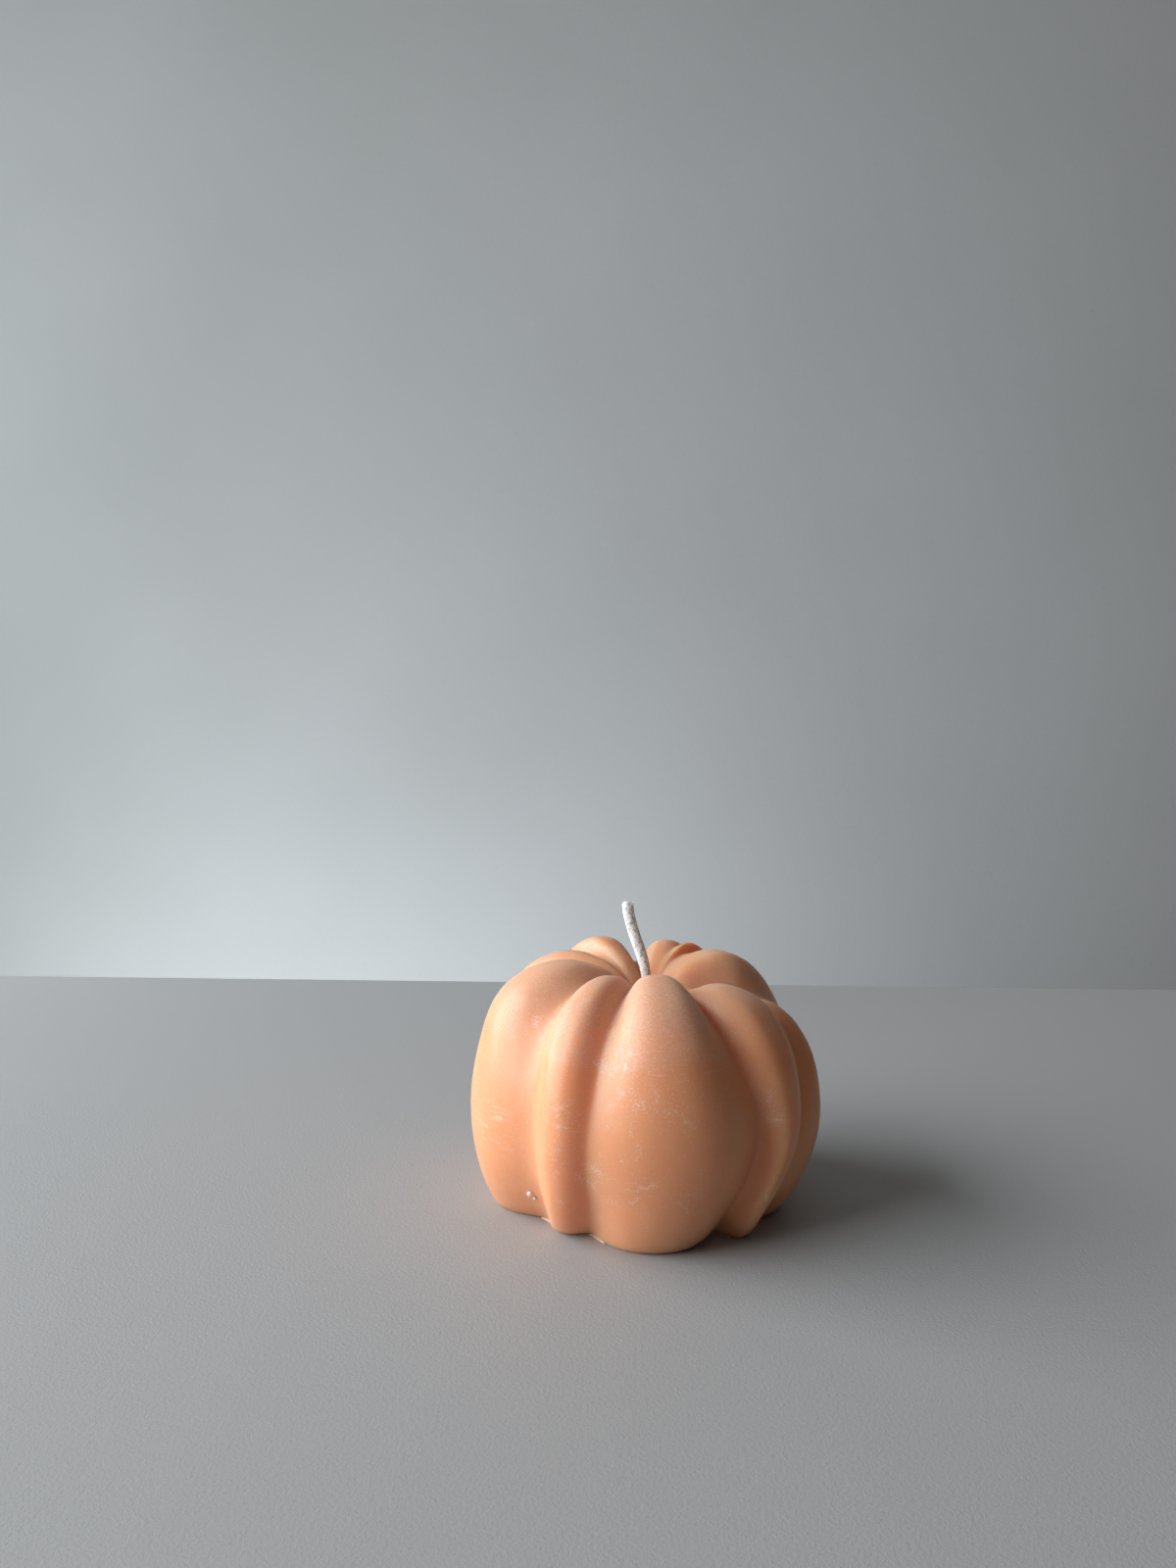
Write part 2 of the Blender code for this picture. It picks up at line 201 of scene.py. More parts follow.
# Places where the skin is flecked: azimuth, height, reach in millimetres and density
FLECKED = [
    (-7.0, 36.5, 5.0, 0.55), (2.0, 35.0, 4.5, 0.45), (12.0, 33.0, 5.0, 0.35),
    (-27.0, 29.0, 4.5, 0.40), (-27.5, 20.0, 4.5, 0.35), (-16.5, 17.5, 4.0, 0.45),
    (-7.1, 39.2, 1.5, 1.0), (-5.6, 42.1, 1.1, 0.8), (-3.8, 40.3, 1.0, 0.6),
    (-17.2, 38.8, 1.8, 0.9), (-15.6, 44.0, 1.6, 0.6), (-9.1, 35.3, 1.2, 0.9),
    (-6.9, 34.6, 1.0, 0.6), (-8.9, 33.6, 1.0, 0.9), (-11.4, 31.8, 1.3, 1.0),
    (-3.2, 32.7, 1.4, 0.9), (-1.0, 33.5, 1.0, 0.7), (-0.4, 32.2, 1.0, 0.8),
    (2.4, 36.2, 1.1, 0.8), (2.9, 35.0, 1.0, 0.8), (3.2, 33.5, 1.0, 0.7),
    (6.4, 31.8, 1.4, 0.8), (9.6, 32.0, 1.0, 0.6), (11.4, 30.3, 1.0, 0.5),
    (14.7, 28.8, 0.9, 0.5), (17.0, 36.0, 1.6, 0.5), (26.0, 35.5, 1.5, 0.5),
    (-28.1, 30.5, 1.3, 0.9), (-27.0, 31.6, 1.0, 0.8), (-24.6, 31.9, 1.0, 0.8),
    (-25.3, 27.4, 1.3, 0.8), (-28.0, 27.3, 1.0, 0.6), (-26.2, 22.5, 1.0, 0.5),
    (-28.1, 17.6, 1.2, 0.6), (-29.4, 10.6, 1.5, 0.7), (-29.3, 22.6, 0.9, 0.4),
    (-17.5, 18.6, 2.0, 0.9), (-14.4, 17.9, 1.4, 0.8), (-18.5, 15.5, 1.6, 0.7),
    (-22.5, 16.6, 1.6, 0.6), (-17.1, 13.7, 1.2, 0.6), (-14.7, 11.8, 1.2, 0.5),
    (-12.0, 28.0, 0.9, 0.5), (-14.5, 22.0, 0.9, 0.5), (-7.3, 21.9, 0.9, 0.5),
    (-10.8, 12.5, 1.0, 0.5), (-8.1, 11.6, 0.9, 0.4), (45.1, 32.7, 1.2, 0.6),
    (45.2, 29.9, 1.1, 0.6), (44.5, 10.2, 1.3, 0.5), (-57.5, 24.7, 1.1, 0.5),
    (-51.8, 18.7, 1.1, 0.5), (-135.0, 54.0, 1.2, 0.9), (80.0, 30.0, 2.5, 0.5),
    (120.0, 24.0, 3.0, 0.5), (170.0, 33.0, 3.5, 0.5), (-110.0, 28.0, 3.0, 0.5),
    (-150.0, 20.0, 3.0, 0.5), (150.0, 14.0, 2.5, 0.4),
]

# Places rubbed in level streaks: azimuth, height, reach in millimetres and density
RUBBED = [
    (-2.0, 32.6, 3.5, 0.8), (6.5, 31.8, 4.0, 0.9), (13.0, 29.5, 3.5, 0.6),
    (0.5, 16.8, 3.2, 0.9), (-4.0, 13.6, 2.2, 0.6), (13.0, 12.5, 4.5, 0.6),
    (14.0, 15.3, 3.5, 0.5), (-4.0, 38.7, 4.0, 0.6), (7.0, 38.2, 5.0, 0.7),
    (20.0, 38.6, 5.0, 0.6), (-26.5, 31.0, 3.0, 0.8), (-26.0, 27.3, 2.6, 0.7),
    (-28.0, 17.5, 3.0, 0.7), (-28.5, 21.5, 3.0, 0.6), (-29.0, 13.0, 3.0, 0.6),
    (-64.0, 22.0, 4.0, 0.8), (-57.0, 24.4, 4.0, 0.8), (-64.1, 18.6, 4.0, 0.7),
    (-54.0, 19.0, 4.0, 0.7), (-52.0, 44.0, 3.5, 0.7), (-54.0, 40.5, 3.0, 0.6),
    (46.0, 26.5, 3.5, 1.0), (46.0, 28.5, 3.0, 0.5), (44.0, 10.0, 4.0, 0.6),
    (30.0, 33.0, 4.0, 0.5), (33.0, 25.0, 4.0, 0.5), (100.0, 26.0, 7.0, 0.6),
    (150.0, 30.0, 8.0, 0.6), (-120.0, 22.0, 7.0, 0.6), (-165.0, 27.0, 7.0, 0.6),
]

# Chips of pale wax: path over azimuth and height, number, spread and size in millimetres
CHIPS = [
    (((-7.3, 39.1), (-6.8, 39.3)), 12, 0.30, 0.36), (((-5.6, 42.1),), 6, 0.45, 0.20),
    (((-3.8, 40.3),), 5, 0.45, 0.18), (((-17.4, 38.8), (-16.6, 39.2)), 9, 0.50, 0.22),
    (((-15.6, 44.0),), 6, 0.70, 0.18), (((-4.1, 39.3),), 4, 0.30, 0.22),
    (((-9.1, 35.3), (-6.9, 34.6), (-8.9, 33.6), (-11.4, 31.8)), 26, 0.35, 0.20),
    (((-3.2, 32.7), (-1.0, 33.5), (-0.4, 32.2)), 18, 0.35, 0.19),
    (((2.4, 36.2), (2.9, 35.0), (3.2, 33.5)), 14, 0.35, 0.16),
    (((1.1, 32.4), (6.4, 31.8), (9.6, 32.0)), 16, 0.25, 0.18),
    (((11.4, 30.3), (14.7, 28.8)), 6, 0.30, 0.16),
    (((-2.6, 16.0), (-1.6, 17.1), (-0.8, 16.6), (0.4, 16.6), (2.0, 17.7), (3.2, 17.1)),
     34, 0.13, 0.22),
    (((-5.1, 13.2), (-3.9, 13.0), (-2.6, 13.9), (-2.4, 14.8)), 20, 0.06, 0.19),
    (((-4.5, 29.6), (-4.1, 26.8)), 6, 0.12, 0.16),
    (((-2.6, 25.5), (-1.7, 25.0), (-2.0, 23.4), (-2.7, 22.6)), 10, 0.10, 0.16),
    (((-18.5, 18.8), (-15.6, 18.7), (-14.1, 17.9)), 20, 0.45, 0.24),
    (((-23.0, 17.4), (-21.5, 16.0), (-18.5, 15.5), (-17.1, 13.7)), 16, 0.40, 0.20),
    (((-28.1, 30.5), (-27.4, 31.6), (-26.1, 31.0), (-24.6, 31.9)), 22, 0.28, 0.20),
    (((-28.0, 27.3), (-25.6, 27.3), (-24.7, 27.1)), 14, 0.22, 0.20),
    (((-12.0, 28.0),), 2, 0.15, 0.18), (((-14.5, 22.0),), 2, 0.15, 0.18),
    (((-7.3, 21.9),), 2, 0.15, 0.18), (((-14.7, 11.8), (-10.8, 12.5), (-8.1, 11.6)), 8, 0.25, 0.16),
    (((-28.1, 17.6),), 4, 0.40, 0.20), (((-30.2, 10.5), (-28.7, 10.8)), 7, 0.35, 0.20),
    (((-26.2, 22.5), (-29.3, 22.6)), 5, 0.25, 0.17),
    (((9.3, 14.3), (13.4, 11.0)), 7, 0.10, 0.14), (((12.2, 15.2), (16.6, 15.5)), 7, 0.12, 0.15),
    (((45.1, 32.7), (45.2, 29.9)), 8, 0.25, 0.18), (((44.8, 26.4), (47.7, 26.6)), 14, 0.06, 0.18),
    (((45.7, 28.4),), 2, 0.20, 0.18), (((42.4, 11.3), (44.0, 9.1)), 7, 0.30, 0.18),
    (((-67.0, 22.3), (-60.9, 21.4)), 16, 0.07, 0.17),
    (((-57.5, 24.7), (-54.2, 24.2)), 12, 0.08, 0.17),
    (((-64.1, 18.6), (-55.6, 19.1)), 14, 0.10, 0.17), (((-51.8, 18.7),), 5, 0.30, 0.20),
    (((-53.0, 45.0), (-51.0, 43.4)), 6, 0.40, 0.18), (((-135.0, 54.0),), 3, 0.25, 0.30),
    (((76.0, 30.0), (84.0, 29.0)), 12, 0.40, 0.20),
    (((116.0, 24.0), (124.0, 25.5)), 14, 0.50, 0.20),
    (((168.0, 33.0), (173.0, 31.0)), 14, 0.60, 0.20),
    (((-112.0, 28.0), (-106.0, 27.0)), 14, 0.50, 0.20),
    (((-152.0, 20.0), (-147.0, 22.0)), 12, 0.50, 0.20),
]
CHIP_HEIGHT = 0.00002
CHIP_SIDES = 7
CHIP_RISES = (0.6, 1.4)  # ranges of a chip's height, width, outline and size, as shares
CHIP_WIDTHS = (0.35, 0.9)
CHIP_OUTLINES = (0.55, 1.0)
CHIP_SIZES = (0.3, 0.8)
CHIP_SPOT = 0.42  # least reach of the flecked place round a chip
CHIP_SPOT_SPREAD = 1.4
STRAYS = 160  # more chips, scattered, most of them along the bloom's edge
STRAY_SPREAD = 1.2  # round that edge; the rest lie anywhere between two heights
STRAY_HEIGHTS = (4, 44)
STRAY_SIZES = (0.05, 0.11)
RUB_STRETCH = 1.6  # rubbed places are wider than high
TOP_SHADE = (43.0, 7.0)  # height where the painted shade on the tops begins, a darker and greyer wax colour, and its fade
BODY_REACH = 38.0  # usual distance of the skin from the axis
DEGREES = 57.3  # in a radian
OUTSIDE = 0.08  # a distance from the axis that is clear of the body

# Crumbs of white wax stuck on the left lobe: azimuth, height and radius in millimetres
CRUMBS = [(-49.1, 8.2, 0.55), (-48.0, 7.2, 0.34), (-48.7, 7.0, 0.20)]
CRUMB_LUMPS = ((0.35, 1.7), (0.12, 5.0))  # height and number of large and of small lumps
CRUMB_RISE = 0.45  # share of the radius by which a crumb's middle lies off the skin

# Flash of the mould at the foot, in the notches: azimuths and reach in millimetres
LIPS = [(-57.0, -47.5, 0.38), (-28.0, -17.0, 0.34), (31.0, 39.0, 0.25), (-102.0, -92.0, 0.3),
        (176.0, 186.0, 0.3)]
LIP_WAVE = 0.45  # unevenness of its outline
LIP_WAVES = 9
LIP_BLUNT = 0.6  # how suddenly it starts and ends
LIP_LOW = 0.00002  # its lower and upper side at the outline
LIP_HIGH = 0.00010

# Colours of the wax and the cotton
WAX_DARK = (0.81, 0.360, 0.182)
WAX_LIGHT = (0.87, 0.410, 0.217)
COTTON_DARK = (0.92, 0.925, 0.935)
COTTON_LIGHT = (0.98, 0.985, 0.995)

# How deep red, green and blue light go into each, as shares of the greatest depth
WAX_DEPTHS = (1.0, 0.46, 0.23)
PALE_WAX_DEPTHS = (1.0, 0.6, 0.4)
COTTON_DEPTHS = (1.0, 0.98, 0.97)

# Heights between which the cotton's soaked part ends
SOAKED_HEIGHTS = (0.0495, 0.0590)

# Tints that lie over a colour: the share that they cover at most, and their own colour
CLOUDY_TINT = (0.10, (0.88, 0.47, 0.29))
# Painted shade on the tops: the wax colour turns darker and greyer there
TOP_SHADE_TINT = (0.55, (0.66, 0.40, 0.26))
FILM_TINT = (0.48, (0.77, 0.54, 0.45))
STREAK_TINT = (0.28, (0.93, 0.66, 0.52))
FLECK_TINT = (0.55, (0.95, 0.71, 0.57))
SEAM_TINT = (0.30, (0.92, 0.60, 0.44))
# Painted shade in the pits between the cotton's tufts
PIT_SHADE_TINT = (0.72, (0.48, 0.47, 0.48))
# Painted shade in the crevices between the braid's strands
BRAID_SHADE_TINT = (0.35, (0.52, 0.51, 0.52))
SOAKED_TINT = (0.55, (0.72, 0.60, 0.57))
SPECKLE_TINT = (0.12, (0.2, 0.2, 0.2))

# Level and slanting rub streaks: how fine they are along X, Y and Z, and their tilt
STREAKS = (((170.0, 170.0, 2300.0), (0.05, -0.04, 0.0)),
           ((190.0, 190.0, 2000.0), (-0.16, 0.14, 0.0)))

# The sockets of a Mix node that carry colours
MIX_UNDER = 6
MIX_OVER = 7
MIX_COLOUR = 2


def ramp(t, stretch):
    """Share of a stretch, given by its start and run, that lies behind t."""
    start, run = stretch
    return np.clip((t - start) / run, 0.0, 1.0)


def smooth(share):
    """The same share with a gentle start and end."""
    return share * share * (3 - 2 * share)


def spline(stations, values, t):
    """Smooth curve through values at the given stations, without overshoot at the ends."""
    stations = np.asarray(stations, float)
    values = np.asarray(values, float)
    slopes = np.gradient(values, stations, axis=0)
    k = int(np.clip(np.searchsorted(stations, t, side="right") - 1, 0, len(stations) - 2))
    width = stations[k + 1] - stations[k]
    u = min(max((t - stations[k]) / width, 0.0), 1.0)
    a = 2 * u ** 3 - 3 * u ** 2 + 1
    b = u ** 3 - 2 * u ** 2 + u
    c = -2 * u ** 3 + 3 * u ** 2
    d = u ** 3 - u ** 2
    return a * values[k] + b * width * slopes[k] + c * values[k + 1] + d * width * slopes[k + 1]


def swell(table, name, t):
    """Amount by which a groove or a lobe differs from the common form at station t."""
    amount, middle, spread = table.get(name, (0.0, 0.0, 1.0))
    return amount * math.exp(-((t - middle) / spread) ** 2)


def crest_point(lobe, t):
    """Radius and height in millimetres on a lobe's middle meridian."""
    reach, foot, own_height, shoulder = lobe[2:6]
    share, rise = spline(range(len(CREST)), CREST, t)
    radius = share * reach + shoulder * math.exp(-((t - SHOULDER[0]) / SHOULDER[1]) ** 2)
    radius += (foot - CREST[0][0] * reach) * max(0.0, 1.0 - t / FOOT_RUN) ** FOOT_CURVE
    height = SIDE_HEIGHT + (own_height - SIDE_HEIGHT) * smooth(ramp(t, SETTLE))
    z = rise * height - swell(LOBE_SINK, lobe[0], t)
    inner = smooth(ramp(t, NOSE))
    end_radius, end_height = GROOVE[-1]
    radius += (end_radius - CREST[-1][0] * reach) * inner
    z += (end_height - CREST[-1][1] * height) * inner
    return np.array([radius, z])


def groove_depth(name, t):
    """Depth of a groove at station t, as a share of the full depth."""
    side, top, inside = GROOVES[name][1]
    share = side + (top - side) * ramp(t, SIDE_TO_TOP)
    return share + (inside - top) * ramp(t, TOP_TO_INSIDE)


def groove_point(name, before, after, t):
    """Radius and height in millimetres at the bottom of a groove."""
    deep = spline(range(len(GROOVE)), GROOVE, t)
    crest = 0.5 * (crest_point(before, t) + crest_point(after, t))
    if t <= 0:
        deep[1] = crest[1] = 0.0
    point = crest + (deep - crest) * groove_depth(name, t)
    return point + (swell(GROOVE_FILL, name, t), -swell(GROOVE_SINK, name, t))


def across(u, softness, squareness):
    """Rise from a groove (u = 0) to the crest (u = 1), with a soft valley at the groove."""
    peak = np.sqrt(1 + softness ** 2) - softness
    soft = (np.sqrt(u * u + softness ** 2) - softness) / peak
    return 1.0 - (1.0 - soft) ** squareness


def lobe_row(index, s, t):
    """Points in millimetres of lobe number index at station t, for an array of s (-1 to 1)."""
    lobe = LOBES[index]
    start_name, end_name = lobe[:2]
    side_squareness, top_squareness, lean = lobe[6:9]
    previous = LOBES[index - 1]
    following = LOBES[(index + 1) % len(LOBES)]
    start_azimuth = spline(AZIMUTH_STATIONS, GROOVES[start_name][0], t)
    end_azimuth = spline(AZIMUTH_STATIONS, GROOVES[end_name][0], t)
    if end_azimuth > start_azimuth:
        end_azimuth -= 360.0
    azimuth = start_azimuth + (end_azimuth - start_azimuth) * (s + 1) / 2
    lean = lean * (1 - ramp(t, NOSE)) + swell(LOBE_LEAN, start_name, t)
    azimuth += lean * (1 - s * s)
    crest = crest_point(lobe, t)
    half_angle = abs(math.radians(end_azimuth - start_azimuth)) / 2
    blend = ramp(t, SOFT_TO_SHARP)
    squareness = side_squareness + (top_squareness - side_squareness) * blend
    radius = np.zeros(len(s))
    z = np.zeros(len(s))
    sides = ((s < 0, groove_point(start_name, previous, lobe, t), groove_depth(start_name, t)),
             (s >= 0, groove_point(end_name, lobe, following, t), groove_depth(end_name, t)))
    for side, groove, depth in sides:
        half_width = half_angle * max(groove[0], GROOVE[-1][0]) * MM
        valley = VALLEY_SIDE + (VALLEY_TOP - VALLEY_SIDE) * blend
        valley *= 1 + SHALLOW_SOFTNESS * max(0.0, 1 - depth)
        rise = across(1 - np.abs(s[side]), valley / half_width, squareness)
        radius[side] = groove[0] + (crest[0] - groove[0]) * rise
        z[side] = groove[1] + (crest[1] - groove[1]) * rise
    angle = np.radians(azimuth)
    return np.stack([radius * np.sin(angle), -radius * np.cos(angle), z], axis=1)


def column_places():
    """Places s of the columns of each lobe, crowded towards the grooves."""
    places = []
    for lobe in LOBES:
        share = np.arange(lobe[9]) / lobe[9]
        places.append(CROWDING * -np.cos(math.pi * share) + (1 - CROWDING) * (2 * share - 1))
    return places


def seam_columns(s, t):
    """Columns of the seam's lobe, some of them drawn together so that the seam can be thin."""
    line = np.interp(t, SEAM_STATIONS, SEAM_PLACES)
    bundle = line + np.linspace(-SEAM_REACH, SEAM_REACH, SEAM_COLUMNS) * SEAM_WIDTH
    rest = len(s) - SEAM_COLUMNS
    left = int(rest * (bundle[0] + 1) / (2 - (bundle[-1] - bundle[0])))
    crowded = np.sin(math.pi / 2 * np.arange(left) / left) ** SEAM_CROWDING
    before = -1 + (bundle[0] + 1) * crowded
    share = np.arange(1, rest - left + 1) / (rest - left + 1)
    after = bundle[-1] + (1 - bundle[-1]) * np.sin(math.pi / 2 * share)
    return np.concatenate([before, bundle, after])


def body_grid():
    """Points in metres about the wick's axis, rows by columns, and the seam on each point."""
    places = column_places()
    rows = []
    seams = []
    for t in np.linspace(0.0, LAST, ROWS + 1):
        row = []
        seam = []
        for index, s in enumerate(places):
            ridge = np.zeros(len(s))
            if index == SEAM_LOBE:
                s = seam_columns(s, t)
                offset = s - np.interp(t, SEAM_STATIONS, SEAM_PLACES)
                ridge = np.exp(-(offset / SEAM_WIDTH) ** 2)
                ridge *= smooth(ramp(t, SEAM_BEGINS)) * (1 - smooth(ramp(t, SEAM_ENDS)))
            row.append(lobe_row(index, s, t))
            seam.append(ridge)
        rows.append(np.concatenate(row))
        seams.append(np.concatenate(seam))
    return np.array(rows) * MM, np.array(seams)


def grid_normals(points):
    """Unit normals of a grid of points that is closed from column to column."""
    along = np.roll(points, -1, axis=1) - np.roll(points, 1, axis=1)
    up = np.gradient(points, axis=0)
    normals = np.cross(up, along)
    normals /= np.maximum(np.linalg.norm(normals, axis=2, keepdims=True), 1e-12)
    outwards = points - points.mean(axis=(0, 1))
    return normals if (normals * outwards).sum() > 0 else -normals


def cast_waves(points):
    """Slow unevenness of the cast skin at each point, in millimetres."""
    waves = []
    for point in points.reshape(-1, 3):
        wave = noise.noise(Vector(point) * WAVE_SCALE)
        waves.append(wave + RIPPLE_SHARE * noise.noise(Vector(point) * RIPPLE_SCALE))
    return UNDULATION * np.array(waves).reshape(points.shape[:2])


def around(points):
    """Azimuth in degrees from -Y, height and distance from the axis in millimetres."""
    azimuth = np.degrees(np.arctan2(points[:, 0], -points[:, 1]))
    return azimuth, points[:, 2] / MM, np.hypot(points[:, 0], points[:, 1]) / MM


def spots(points, places, stretch):
    """Density from a list of places, each fading out over its reach, wider by stretch."""
    azimuth, height, radius = around(points)
    total = np.zeros(len(points))
    for at, z, reach, density in places:
        aside = np.radians((azimuth - at + 180) % 360 - 180) * radius / stretch
        total = np.maximum(total, density * np.exp(-(aside ** 2 + (height - z) ** 2) / reach ** 2))
    return total


def bloom(points):
    """Density of the dusty film on each point."""
    azimuth, height, radius = around(points)
    edge = np.interp(azimuth, BLOOM_AZIMUTHS, BLOOM_EDGES)
    density = np.interp(azimuth, BLOOM_AZIMUTHS, BLOOM_DENSITIES)
    rise = smooth(np.clip((height - edge + BLOOM_FADE[0]) / sum(BLOOM_FADE), 0, 1))
    inside = smooth(ramp(radius, BLOOM_INSIDE))
    return density * rise * inside


def link(name, data):
    """Links a new object that shows a mesh, or that is a light or a camera."""
    made = bpy.data.objects.new(name, data)
    bpy.context.scene.collection.objects.link(made)
    return made


def mesh_from(name, vertices, faces, soft=True):
    """Mesh whose faces look outwards, with soft shading or with facets."""
    mesh = bpy.data.meshes.new(name)
    mesh.from_pydata([tuple(v) for v in vertices], [], faces)
    bm = bmesh.new()
    bm.from_mesh(mesh)
    bmesh.ops.recalc_face_normals(bm, faces=bm.faces)
    bm.to_mesh(mesh)
    bm.free()
    mesh.polygons.foreach_set("use_smooth", [soft] * len(mesh.polygons))
    mesh.update()
    return mesh


def keep_field(mesh, name, values):
    """Keeps a value for each vertex, for the material."""
    layer = mesh.attributes.new(name, "FLOAT", "POINT")
    layer.data.foreach_set("value", np.asarray(values, np.float32))


def ring_faces(rings, count, closed=False):
    """Quads between neighbouring rings of count points each."""
    faces = []
    for r in range(rings if closed else rings - 1):
        low = r * count
        high = (r + 1) % rings * count
        for i in range(count):
            j = (i + 1) % count
            faces.append((low + i, low + j, high + j, high + i))
    return faces


def make_body():
    """The cast wax as one closed mesh, closed on the wick, with the fields of its material."""
    points, seam = body_grid()
    stations = np.linspace(0.0, LAST, ROWS + 1)
    calm = smooth(ramp(stations, WAVES_BEGIN)) * (1 - smooth(ramp(stations, WAVES_END)))
    lift = cast_waves(points) * calm[:, None] + SEAM_HEIGHT * seam
    points = points + grid_normals(points) * lift[:, :, None] * MM
    foot = points[0]
    outwards = foot / np.linalg.norm(foot, axis=1, keepdims=True)
    rings = []
    for share in EDGE_SHARES:
        ring = foot - outwards * EDGE_ROUND * (1 - math.sqrt(share * (2 - share)))
        ring[:, 2] = EDGE_ROUND * share
        rings.append(ring)
    clear = EDGE_ROUND * EDGE_CLEAR
    first = next(k for k, row in enumerate(points) if row[:, 2].min() > clear)
    skipped = len(rings) - first
    rings += list(points[first:])
    top = points[-1]
    reach = np.hypot(top[:, 0], top[:, 1])[:, None]
    direction = top * (1, 1, 0) / reach
    for share in CLOSING_SHARES:
        ring = direction * (reach + (WICK_HOLE - reach) * share)
        ring[:, 2] = top[:, 2] - CLOSING_DIP * share ** 2
        rings.append(ring)
    for height in (WICK_START, 0.0):
        rings.append(direction * WICK_HOLE + (0, 0, height))
    vertices = np.concatenate(rings)
    count = len(foot)
    mesh = mesh_from("wax_body_looks", vertices + AXIS, ring_faces(len(rings), count, closed=True))
    lines = np.zeros((len(rings), count))
    lines[skipped + first:skipped + len(points)] = seam[first:]
    keep_field(mesh, "bloom", bloom(vertices))
    # painted shade of the tops, by height
    keep_field(mesh, "top_shade", smooth(ramp(vertices[:, 2] / MM, TOP_SHADE)))
    keep_field(mesh, "flecked", spots(vertices, FLECKED, 1.0))
    keep_field(mesh, "chipped", spots(vertices, chip_places(), 1.0))
    keep_field(mesh, "rubbed", spots(vertices, RUBBED, RUB_STRETCH))
    keep_field(mesh, "seam", lines.ravel())
    return link("wax_body_looks", mesh), foot


def chip_places():
    """Small flecked places along the paths of the chips."""
    places = []
    for path, number, spread, _ in CHIPS:
        steps = max(1, 2 * number // 3)
        reach = max(CHIP_SPOT, CHIP_SPOT_SPREAD * spread)
        for k in range(steps):
            azimuth, height = along_path(path, (k + 0.5) / steps)
            places.append((azimuth, height, reach, 1.0))
    return places


def skin_point(tree, azimuth, height):
    """Point on the wax and its outward normal, met from outside at an azimuth and height."""
    angle = math.radians(azimuth)
    outwards = Vector((math.sin(angle), -math.cos(angle), 0))
    start = Vector(AXIS) + outwards * OUTSIDE + Vector((0, 0, height * MM))
    place, normal = tree.ray_cast(start, -outwards)[:2]
    if place is None:
        return None
    return place, normal if normal.dot(outwards) > 0 else -normal


def along_path(path, share):
    """Point at a share of the way along a path of points."""
    spans = len(path) - 1
    if spans == 0:
        return path[0]
    k = min(int(share * spans), spans - 1)
    u = share * spans - k
    return tuple(a + (b - a) * u for a, b in zip(path[k], path[k + 1]))


def add_chip(vertices, faces, place, normal, size, rng):
    """One thin closed flake, of uneven outline, lying on the skin."""
    side = normal.cross(Vector((0, 0, 1)))
    side = side.normalized() if side.length > 0.1 else Vector((1, 0, 0))
    up = side.cross(normal)
    turn = rng.uniform(0, 2 * math.pi)
    thin = rng.uniform(*CHIP_WIDTHS)
    base = len(vertices)
    vertices.append(place + normal * CHIP_HEIGHT * rng.uniform(*CHIP_RISES))
    vertices.append(place - normal * CHIP_HEIGHT * 2)
    for k in range(CHIP_SIDES):
        angle = 2 * math.pi * k / CHIP_SIDES
        reach = size * rng.uniform(*CHIP_OUTLINES) * MM
        x, y = reach * math.cos(angle), reach * thin * math.sin(angle)
        spot = side * (x * math.cos(turn) - y * math.sin(turn))
        spot += up * (x * math.sin(turn) + y * math.cos(turn))
        vertices.append(place + spot)
    for k in range(CHIP_SIDES):
        a = base + 2 + k
        b = base + 2 + (k + 1) % CHIP_SIDES
        faces.append((base, a, b))
        faces.append((base + 1, b, a))


def make_chips(tree):
    """All chips of pale wax on the skin as one mesh."""
    rng = np.random.default_rng(11)
    vertices = []
    faces = []
    for path, number, spread, size in CHIPS:
        for k in range(number):
            azimuth, height = along_path(path, (k + rng.uniform(0.2, 0.8)) / number)
            azimuth += rng.normal(0, spread) / BODY_REACH * DEGREES
            height += rng.normal(0, spread)
            found = skin_point(tree, azimuth, height)
            if found:
                add_chip(vertices, faces, *found, size * rng.uniform(*CHIP_SIZES), rng)
    for k in range(STRAYS):
        azimuth = rng.uniform(-180, 180)
        edge = np.interp(azimuth, BLOOM_AZIMUTHS, BLOOM_EDGES)
        level = rng.normal(edge, STRAY_SPREAD) if k % 3 else rng.uniform(*STRAY_HEIGHTS)
        found = skin_point(tree, azimuth, level)
        if found:
            add_chip(vertices, faces, *found, rng.uniform(*STRAY_SIZES), rng)
    return link("wax_chips", mesh_from("wax_chips", vertices, faces, soft=False))


def make_crumbs(tree):
    """Uneven crumbs of white wax stuck on the skin."""
    (large, few), (small, many) = CRUMB_LUMPS
    vertices = []
    faces = []
    for number, (azimuth, height, radius) in enumerate(CRUMBS):
        place, normal = skin_point(tree, azimuth, height)
        middle = place + normal * radius * CRUMB_RISE * MM
        bm = bmesh.new()
        bmesh.ops.create_icosphere(bm, subdivisions=3, radius=1.0)
        base = len(vertices)
        for vertex in bm.verts:
            lump = 1 + large * noise.noise(vertex.co * few + Vector((number, 0, 0)))
            lump += small * noise.noise(vertex.co * many)
            vertices.append(middle + vertex.co * lump * radius * MM)
        faces += [tuple(base + v.index for v in face.verts) for face in bm.faces]
        bm.free()
    return link("wax_crumbs", mesh_from("wax_crumbs", vertices, faces))


